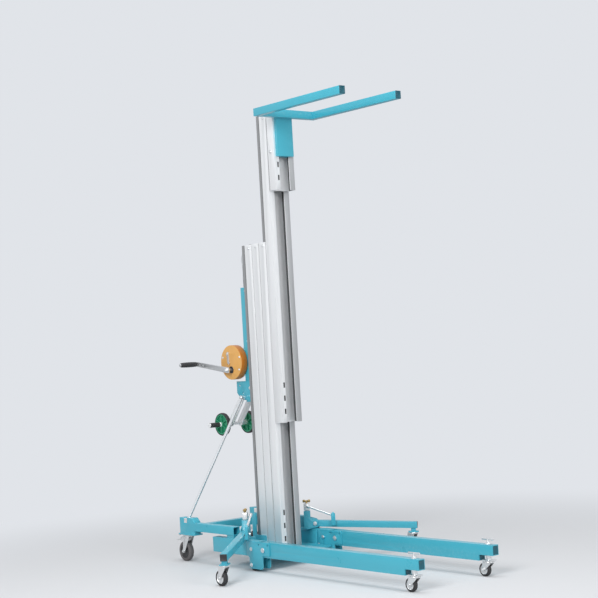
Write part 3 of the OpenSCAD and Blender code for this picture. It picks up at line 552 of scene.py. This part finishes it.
for side, s in (("left", 1), ("right", -1)):
    dressed(f"hinge_bracket_{side}", paint, "turquoise_paint", 0.0012)
    caster_wheel(f"roller_{side}", 0.037, 0.046, 0.00805, rubber, plastic, "black_rubber")
    for name, x, z, radius, height in (("hinge", 332, 131, 0.0105, 0.008), ("tube", 220, 131, 0.0078, 0.007),
                                       ("roller", 217, 37, 0.0085, 0.007)):
        bolted(f"{name}_bolts_{side}", "base", [(X(x, s * LEG_Y + q * 37.2, z), (0, q, 0)) for q in (1, -1)],
               radius, height)


# Legs: long folding tubes with a plug in the front end, a tee screw that lowers the front caster,
# and the caster itself, a pressed fork on a ball race with a small black wheel.
def race(name, body, centre, height):
    """The turned ball race between a caster's plate and its fork."""
    outline = [(0.0070, -0.0060, 0), (0.0225, -0.0100, 0), (0.0262, -0.0092, 0), (0.0284, -0.0064, 0),
               (0.0288, -0.0040, 0), (0.0276, -0.0012, 0), (0.0262, -0.0004, 0), (0.0262, -0.0060, 0)]
    return carried(turned(name, outline, centre + Vector((0, 0, height)), (0, 0, 1), [zinc], 48), body, "zinc_steel")


# Dark teal: the plastic plugs in the leg and fork ends, and painted shade where a plate of it stands for the dark
# hollow of an open notch end.
plug_and_notch_shade = finish("dark_plug_and_notch_shade", (0.004, 0.085, 0.120), (0.006, 0.100, 0.140), (0.03, 0.20, 0.25), 0.0, (0.3, 0.45),
              scale=30, bump=0.08, fine=500, worn=0.4)


def end_plug(name, body, place, turn, w, h, look, slot):
    """A moulded plug in a tube end, or a dark plate of painted shade on a closed end: a rounded plate with a shallow
    dish.
    """
    bpy.ops.object.select_all(action="DESELECT")
    bpy.ops.mesh.primitive_cube_add(size=1)
    ob = bpy.context.object
    ob.data.transform(Matrix.Diagonal((0.005, w, h, 1)))
    chosen(ob, lambda c, n: n.x > 0.9)
    bpy.ops.mesh.inset(thickness=0.005, depth=0)
    bpy.ops.mesh.inset(thickness=0.0015, depth=-0.0012)
    bpy.ops.object.mode_set(mode="OBJECT")
    ob.data.transform(Matrix.Translation(place) @ turn.to_4x4())
    ob.name = name
    ob.data.materials.append(look)
    return carried(rounded(ob, 0.0016, 3), body, slot)


for side, s in (("left", 1), ("right", -1)):
    dressed(f"leg_{side}", paint, "turquoise_paint", 0.004, 3)
    # The notch plate is painted shade: a dark plate on the closed end of the notch, for the shadow inside the open
    # tube end.
    for name, x, z, high in (("leg", 1630.7, 147.5, 0.0470), ("notch", 1527.7, 102.5, 0.0250)):
        end_plug(f"{name}_plug_{side}", f"leg_{side}", X(x, s * LEG_Y, z), Matrix.Identity(3), 0.0370, high, plug_and_notch_shade,
                 "turquoise_paint")
    dressed(f"leg_screw_{side}", zinc, "zinc_steel", 0.0010)
    dressed(f"front_fork_{side}", zinc, "zinc_steel", 0.0010)
    race(f"front_race_{side}", f"front_caster_{side}", X(1579.5, s * LEG_Y, 0), 0.0855)
    caster_wheel(f"front_wheel_{side}", 0.0375, 0.026, 0.00505, rubber, zinc, "black_rubber")
    bolted(f"front_axle_nuts_{side}", f"front_caster_{side}",
           [(X(1547.5, s * LEG_Y + q * 21.4, 37.5), (0, q, 0)) for q in (1, -1)], 0.0068, 0.006)


# Stabilizers: uprights on the base tubes, arms that fold up on a pin, strut rods and latch heads,
# with black plugs in the arm ends and a caster under each.
brass = finish("brass", (0.30, 0.20, 0.08), (0.48, 0.34, 0.14), (0.66, 0.52, 0.28), 0.9, (0.22, 0.4),
               scale=70, bump=0.08, fine=300, worn=0.4)
slope = Matrix.Rotation(math.atan2(43, 633), 3, "Y")
for side, s in (("left", 1), ("right", -1)):
    out = Matrix.Rotation(s * math.radians(48), 3, "Z")

    def on_arm(d, q, z):
        """A point at a distance along the arm, beside its middle line, at a height."""
        return X(79, s * 241, 0) + out @ (Vector((d, s * q, z)) / 1000)

    dressed(f"upright_{side}", paint, "turquoise_paint", 0.0015)
    dressed(f"stabilizer_{side}", paint, "turquoise_paint", 0.0025)
    dressed(f"strut_{side}", zinc, "zinc_steel", 0.0010)
    dressed(f"stab_fork_{side}", zinc, "zinc_steel", 0.0010)
    latch = dressed(f"latch_{side}", zinc, "brass", 0.0015)
    latch.data.materials.append(brass)
    for f in latch.data.polygons:
        f.material_index = 1 if f.center.z > 0.333 else 0
    end_plug(f"arm_plug_{side}", f"stabilizer_{side}", on_arm(681.5, 0, 163), out @ slope, 0.0396, 0.0396, plastic,
             "black_plastic")
    bolted(f"arm_pins_{side}", "base", [(on_arm(48, q * 28.5, 206), out @ Vector((0, s * q, 0))) for q in (1, -1)],
           0.0085, 0.007)
    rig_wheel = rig.box(f"stab_wheel_{side}")
    axle = (Vector(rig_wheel[0]) + Vector(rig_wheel[1])) / 2
    race(f"stab_race_{side}", f"stab_caster_{side}", Vector((axle.x + 0.034, axle.y, 0)), 0.1195)
    caster_wheel(f"stab_wheel_{side}", 0.045, 0.028, 0.00505, rubber, zinc, "black_rubber")
    bolted(f"stab_axle_nuts_{side}", f"stab_caster_{side}",
           [(axle + Vector((0, q * 0.0224, 0)), (0, q, 0)) for q in (1, -1)], 0.0068, 0.006)


# Rear casters: larger grey wheels on black centres in pressed forks, with a pedal brake behind.
grey_rubber = finish("grey_rubber", (0.085, 0.080, 0.082), (0.135, 0.128, 0.130), (0.2, 0.19, 0.19), 0.0,
                     (0.55, 0.78), scale=45, bump=0.22, fine=600, worn=0.4)
for side, s in (("left", 1), ("right", -1)):
    dressed(f"rear_fork_{side}", zinc, "zinc_steel", 0.0010)
    dressed(f"brake_{side}", zinc, "zinc_steel", 0.0010)
    race(f"rear_race_{side}", f"rear_caster_{side}", X(-470, s * LEG_Y, 0), 0.1675)
    caster_wheel(f"rear_wheel_{side}", 0.0625, 0.034, 0.00505, grey_rubber, plastic, "grey_rubber")
    bolted(f"rear_axle_nuts_{side}", f"rear_caster_{side}",
           [(X(-510, s * LEG_Y + q * 25.4, 62.5), (0, q, 0)) for q in (1, -1)], 0.0075, 0.007)
    bolted(f"rear_plate_bolts_{side}", "base",
           [(X(-470 + a * 64, s * LEG_Y + q * 28, 168), (0, 0, -1)) for a in (1, -1) for q in (1, -1)], 0.0052, 0.005)


# Mast: four extruded aluminium columns, open in front between two lips, each running on the rail of the next.
# Brushed along the extrusion, with a cross pin near each top.
alu = finish("mast_aluminium", (0.83, 0.84, 0.85), (0.89, 0.895, 0.90), (0.92, 0.92, 0.92), 0.45, (0.34, 0.48),
             stretch=(1, 1, 0.02), scale=110, bump=0.08, fine=700, worn=0.15)


# Painted shade: the rear rail and the rounded rear corners of each mast piece, which lie in the shadow between
# columns, are coloured dark grey.
rail_seam_painted_shade = finish("rail_seam_painted_shade", (0.25, 0.255, 0.26), (0.34, 0.345, 0.35), (0.5, 0.5, 0.5), 0.45, (0.36, 0.5),
                   stretch=(1, 1, 0.02), scale=110, bump=0.08, fine=700, worn=0.15)
# Painted shade: the front face of the left lip is coloured mid grey for the shade it falls in.
left_lip_painted_shade = finish("left_lip_painted_shade", (0.42, 0.425, 0.435), (0.50, 0.51, 0.52), (0.6, 0.6, 0.6), 0.45, (0.34, 0.48),
                  stretch=(1, 1, 0.02), scale=110, bump=0.08, fine=700, worn=0.15)
# Painted shadow: the inner face of the left wall, deep in the channel, is coloured near black for the shadow there.
inner_wall_shade = finish("inner_wall_painted_shade", (0.07, 0.072, 0.076), (0.11, 0.112, 0.117), (0.2, 0.2, 0.2), 0.1, (0.4, 0.55),
               stretch=(1, 1, 0.05), scale=90, bump=0.08, fine=700, worn=0.2)


def extruded(node, rear, front):
    """A mast piece between two faces: bright outside, grey painted shade on the rail, the rear corners and the left
    lip, and darker painted shade on the inner left wall.
    """
    ob = dressed(node, alu, "mast_aluminium", 0.0010, 2, lambda a, b: abs(a.z - b.z) > 0.3
                 and min(abs(a.y), abs(b.y)) > 0.0745 and max(abs(a.x - rear), abs(b.x - rear)) < 0.001)
    for look in (rail_seam_painted_shade, left_lip_painted_shade, inner_wall_shade):
        ob.data.materials.append(look)
    for f in ob.data.polygons:
        c, n = f.center, f.normal
        # rail faces and rear corner bevels: painted shade between the columns
        if c.x < rear - 0.0004 or (-0.98 < n.x < -0.15 and abs(c.y) > 0.0685 and c.x < rear + 0.0065):
            f.material_index = 1
        # front face of the left lip: painted shade
        elif n.x > 0.5 and c.y > 0.037 and c.x > front - 0.002:
            f.material_index = 2
        # inner face of the left wall: painted shadow in the channel
        elif n.y < -0.5 and 0.055 < c.y < 0.0742:
            f.material_index = 3
    return ob


def windows(name, body, front, low, count):
    """Dark inserts in the windows of a right lip, from its front face and the foot of the first window."""
    inserts = []
    for z in range(low, low + 79 * count, 79):
        bpy.ops.object.select_all(action="DESELECT")
        bpy.ops.mesh.primitive_cube_add(size=1)
        ob = bpy.context.object
        ob.data.transform(Matrix.Diagonal((0.0036, 0.012, 0.032, 1)))
        chosen(ob, lambda c, n: n.x > 0.9)
        bpy.ops.mesh.inset(thickness=0.0018, depth=0)
        bpy.ops.mesh.inset(thickness=0.0008, depth=-0.0010)
        bpy.ops.object.mode_set(mode="OBJECT")
        ob.data.transform(Matrix.Translation(X(front - 3.4, -47, z + 16)))
        ob.data.materials.append(plastic)
        inserts.append(rounded(ob, 0.0004, 1))
    return carried(joined(name, inserts), body, "black_plastic")


PITCH, COLUMN_D, COLUMN_L = 72, 70, 1870
for n, body, top in ((1, "base", 1956), (2, "mast_2", 1959), (3, "mast_3", 1959), (4, "mast_4", 2729)):
    rear = (n - 1) * PITCH
    extruded(f"column_{n}", X(rear, 0, 0).x, X(rear + COLUMN_D, 0, 0).x)
    windows(f"column_windows_{n}", body, rear + COLUMN_D, top - COLUMN_L + 52, 3)
    bolted(f"column_pins_{n}", body, [(X(rear + 46, q * 77.6, top - 22), (0, q, 0)) for q in (1, -1)],
           0.0062, 0.005)


# Winch post: a tube on the back of the first column with two gusset plates, bolted through.
# Chrome braces run from the gussets to the rear boxes, and two arms hold the transport axle.
chrome = finish("chrome_rod", (0.82, 0.83, 0.84), (0.90, 0.91, 0.92), (0.92, 0.92, 0.93), 0.85, (0.10, 0.20),
                scale=30, bump=0.02, fine=500, worn=0.2)
dressed("winch_post", paint, "turquoise_paint", 0.003)
bolted("post_bolts", "base", [(X(-57, q * 40, z), (0, q, 0)) for q in (1, -1) for z in (1678, 1365)]
       + [(X(-57, q * 46, 1113 - 40), (0, q, 0)) for q in (1, -1)], 0.008, 0.007)
for side, s in (("left", 1), ("right", -1)):
    dressed(f"brace_{side}", chrome, "chrome_rod", 0.0015)
    bolted(f"brace_pin_{side}", "base", [(X(-114, s * 81, 1016), (0, s, 0))], 0.0080, 0.006)
dressed("transport_frame", alu, "mast_aluminium", 0.0015)


# Transport wheels: green moulded hubs with a rim, a boss and six ribs, and a thin dark tyre.
# They carry the hoist when it is tipped back, and turn on the through axle.
AXLE_X, AXLE_Z = -290, 850
green = finish("green_wheel", (0.012, 0.215, 0.105), (0.018, 0.270, 0.135), (0.10, 0.42, 0.26), 0.0, (0.3, 0.45),
               scale=30, bump=0.06, fine=500, worn=0.4)
for side, s in (("left", 1), ("right", -1)):
    centre = X(AXLE_X, s * 101, AXLE_Z)
    half = [(0.01005, 0.015, 1), (0.0165, 0.015, 1), (0.0185, 0.0135, 1), (0.0195, 0.0040, 1), (0.0530, 0.0035, 1),
            (0.0550, 0.0125, 1), (0.0575, 0.0140, 1), (0.0620, 0.0140, 1), (0.0635, 0.0128, 0), (0.0660, 0.0140, 0),
            (0.0700, 0.0118, 0), (0.0718, 0.0060, 0), (0.0720, 0.0, 0)]
    outline = half + [(a, -b, half[max(0, len(half) - 3 - i)][2]) for i, (a, b, _) in enumerate(half[-2::-1])]
    wheel = turned(f"wheel_{side}", outline, centre, (0, 1, 0), [rubber, green], 96)
    ribs = []
    for k in range(6):
        for face in (-1, 1):
            bpy.ops.object.select_all(action="DESELECT")
            bpy.ops.mesh.primitive_cube_add(size=1)
            rib = bpy.context.object
            rib.data.transform(Matrix.Translation(centre) @ Matrix.Rotation(math.pi * (k + 0.5) / 3, 4, "Y")
                               @ Matrix.Translation((0.0365, face * 0.0078, 0))
                               @ Matrix.Diagonal((0.0375, 0.01, 0.0075, 1)))
            rib.data.materials.append(green)
            ribs.append(rounded(rib, 0.0012))
    ribs = joined(f"ribs_{side}", ribs)
    carried(joined(f"transport_wheel_{side}_look", [wheel, ribs]), f"transport_wheel_{side}", "green_wheel",
            f"transport_wheel_{side}")
    # ribbed black sleeve over the end of the axle
    outline = [(0.0141, -0.036, 0)]
    for k in range(10):
        h = -0.036 + 0.07 * k / 10
        outline += [(0.0148, h + 0.001, 0), (0.0152, h + 0.0024, 0), (0.0152, h + 0.0046, 0), (0.0148, h + 0.0060, 0)]
    outline += [(0.0148, 0.035, 0), (0.0141, 0.036, 0)]
    carried(turned(f"axle_grip_{side}", outline, X(AXLE_X, s * 167.5, AXLE_Z), (0, 1, 0), [plastic], 48), "base",
            "black_plastic")


# Winch: side plates, drum with ring gear, an orange pressed cover, a pawl lever and the crank.
# The crank's black grip spins on its pin.
DRUM_X, DRUM_Z, CRANK_Z, CRANK_L, COVER_Y = -178, 1237, 1191, 325, -91.5
orange = finish("orange_paint", (0.640, 0.330, 0.085), (0.740, 0.400, 0.110), (0.80, 0.62, 0.36), 0.0, (0.28, 0.42),
                scale=14, bump=0.1, fine=240, worn=0.6, coat=0.2)
dressed("winch_frame", zinc, "zinc_steel", 0.0010)
dressed("winch_drum", zinc, "zinc_steel", 0.0010)
# Painted shade: the side of the winch cover, turned away from the lamps, takes a deeper orange than its face.
cover_side_shade = finish("orange_side_painted_shade", (0.470, 0.150, 0.012), (0.560, 0.185, 0.018), (0.75, 0.45, 0.16), 0.0, (0.30, 0.44),
              scale=14, bump=0.1, fine=240, worn=0.4, coat=0.2)
cover = dressed("winch_cover", orange, "orange_paint", 0.003, 3)
for look in (cover_side_shade, plastic, zinc):
    cover.data.materials.append(look)
for f in cover.data.polygons:
    if f.center.y < -0.0920:
        f.material_index = 2 if f.center.z < 1.22 else 3
    else:
        # faces not turned to -Y take the painted shade of the cover's side
        f.material_index = 0 if f.normal.y < -0.6 else 1
dressed("winch_pawl", zinc, "zinc_steel", 0.0010)
dressed("winch_crank", zinc, "zinc_steel", 0.0012)
bolted("crank_nut", "crank", [(X(DRUM_X, -133.5, CRANK_Z), (0, -1, 0))], 0.011, 0.009)
bolted("cover_screws", "base", [(X(DRUM_X + 92 * math.cos(a), COVER_Y, DRUM_Z + 92 * math.sin(a)), (0, -1, 0))
                                for a in (math.radians(v) for v in (20, 160, 210, 330))], 0.0048, 0.004)
tilt = math.radians(8)
outline = [(0.00605, 0.0005, 0), (0.0118, 0.0005, 0), (0.0132, 0.002, 0)]
for k in range(25):
    swell = 0.0150 + 0.0017 * math.sin(math.pi * k / 24) ** 0.8
    outline.append((swell - (0.0009 if k % 4 == 2 else 0.0), 0.006 + 0.110 * k / 24, 0))
outline += [(0.0135, 0.121, 0), (0.0115, 0.1237, 0), (0.00605, 0.1237, 0)]
grip_end = X(DRUM_X - CRANK_L * math.cos(tilt), -130.5, CRANK_Z + CRANK_L * math.sin(tilt))
carried(turned("crank_grip_look", outline, grip_end, (0, -1, 0), [plastic], 56), "crank_grip", "black_plastic",
        "crank_grip")


# Rope: one stranded wire line from the drum over the top sheave and down inside the first column,
# and the turns of it on the drum. Six strands lie round it, one turn in thirty millimetres.
strand = finish("wire_rope", (0.30, 0.31, 0.32), (0.56, 0.57, 0.58), (0.7, 0.7, 0.7), 0.9, (0.3, 0.5),
                scale=260, bump=0.9, fine=420, worn=0.2)
tree = strand.node_tree
s_uv = tree.nodes.new("ShaderNodeUVMap")
s_uv.uv_map = "lay"
s_lay = tree.nodes.new("ShaderNodeMapping")
s_lay.inputs["Scale"].default_value = (6, 6 / 0.030, 1)
s_wave = tree.nodes.new("ShaderNodeTexWave")
s_wave.wave_type = "BANDS"
s_wave.bands_direction = "DIAGONAL"
s_wave.inputs["Scale"].default_value = 0.314
s_rise = next(n for n in tree.nodes if n.type == "BUMP")
for a, b in ((s_uv.outputs[0], s_lay.inputs[0]), (s_lay.outputs[0], s_wave.inputs["Vector"]),
             (s_wave.outputs["Fac"], s_rise.inputs["Height"])):
    tree.links.new(a, b)


def line(name, path, radius, sides):
    """A round line along a path, with a map that counts the strands around and the metres along."""
    bm = bmesh.new()
    lay = bm.loops.layers.uv.new("lay")
    rings, run, normal = [], [0.0], None
    for i, p in enumerate(path):
        d = (path[min(i + 1, len(path) - 1)] - path[max(i - 1, 0)]).normalized()
        normal = d.orthogonal() if normal is None else normal
        normal = (normal - d * normal.dot(d)).normalized()
        across = d.cross(normal)
        if i:
            run.append(run[-1] + (p - path[i - 1]).length)
        rings.append([bm.verts.new(p + radius * (normal * math.cos(a) + across * math.sin(a)))
                      for a in (2 * math.pi * k / sides for k in range(sides))])
    for i in range(len(rings) - 1):
        for k in range(sides):
            f = bm.faces.new((rings[i][k], rings[i][(k + 1) % sides], rings[i + 1][(k + 1) % sides], rings[i + 1][k]))
            for corner, (u, v) in zip(f.loops, ((k, i), (k + 1, i), (k + 1, i + 1), (k, i + 1))):
                corner[lay].uv = (u / sides, run[v])
    bm.faces.new(rings[0][::-1])
    bm.faces.new(rings[-1])
    bmesh.ops.recalc_face_normals(bm, faces=bm.faces)
    me = bpy.data.meshes.new(name)
    bm.to_mesh(me)
    bm.free()
    me.materials.append(strand)
    ob = bpy.data.objects.new(name, me)
    scene.collection.objects.link(ob)
    alone(ob)
    bpy.ops.object.shade_smooth_by_angle(angle=math.radians(60))
    return ob


SHEAVE_X, SHEAVE_Z, SHEAVE_R, ROPE_FOOT = -68.675, 1876.1, 55.925, 86
path = [X(SHEAVE_X - SHEAVE_R, 0, z) for z in range(DRUM_Z, int(SHEAVE_Z), 21)]
path += [X(SHEAVE_X - SHEAVE_R * math.cos(a), 0, SHEAVE_Z + SHEAVE_R * math.sin(a))
         for a in (math.pi * k / 32 for k in range(33))]
path += [X(SHEAVE_X + SHEAVE_R, 0, z) for z in range(1860, ROPE_FOOT, -60)] + [X(SHEAVE_X + SHEAVE_R, 0, ROPE_FOOT)]
carried(line("rope_look", path, 0.0025, 12), "base", "wire_rope", "rope")
path = [X(DRUM_X + 48 * math.cos(a), 5.8 * (a / 2 / math.pi - 4), DRUM_Z + 48 * math.sin(a))
        for a in (2 * math.pi * k / 60 for k in range(481))]
carried(line("drum_rope_look", path, 0.0025, 10), "drum", "wire_rope", "drum_rope")
dressed("top_sheave", zinc, "zinc_steel", 0.0006)
dressed("sheave_bracket", zinc, "zinc_steel", 0.0008)
bolted("sheave_pin_nuts", "base", [(X(SHEAVE_X - 0.025, q * 18, SHEAVE_Z), (0, q, 0)) for q in (1, -1)],
       0.0085, 0.006)


# Carriage: a short column on the rail of the last one, with the fork shank, its cross beam and two forks.
extruded("carriage", X(288, 0, 0).x, X(350, 0, 0).x)
windows("carriage_windows", "carriage", 350, 2320, 2)
bolted("carriage_pins", "carriage", [(X(319, q * 78.6, 2495.5), (0, q, 0)) for q in (1, -1)], 0.0078, 0.006)
dressed("fork_frame", paint, "turquoise_paint", 0.004, 3)
dressed("fork_left", paint, "turquoise_paint", 0.004, 3)
dressed("fork_right", paint, "turquoise_paint", 0.004, 3)
for side, s in (("left", 1), ("right", -1)):
    end_plug(f"fork_plug_{side}", "carriage", X(1156.5, s * 212, 2716), Matrix.Identity(3), 0.0395, 0.0455, plug_and_notch_shade,
             "turquoise_paint")

json.dump({"cad": [list(v) for v in cad_box], "visual": [list(v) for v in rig.bounds()]}, open("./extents.json", "w"))
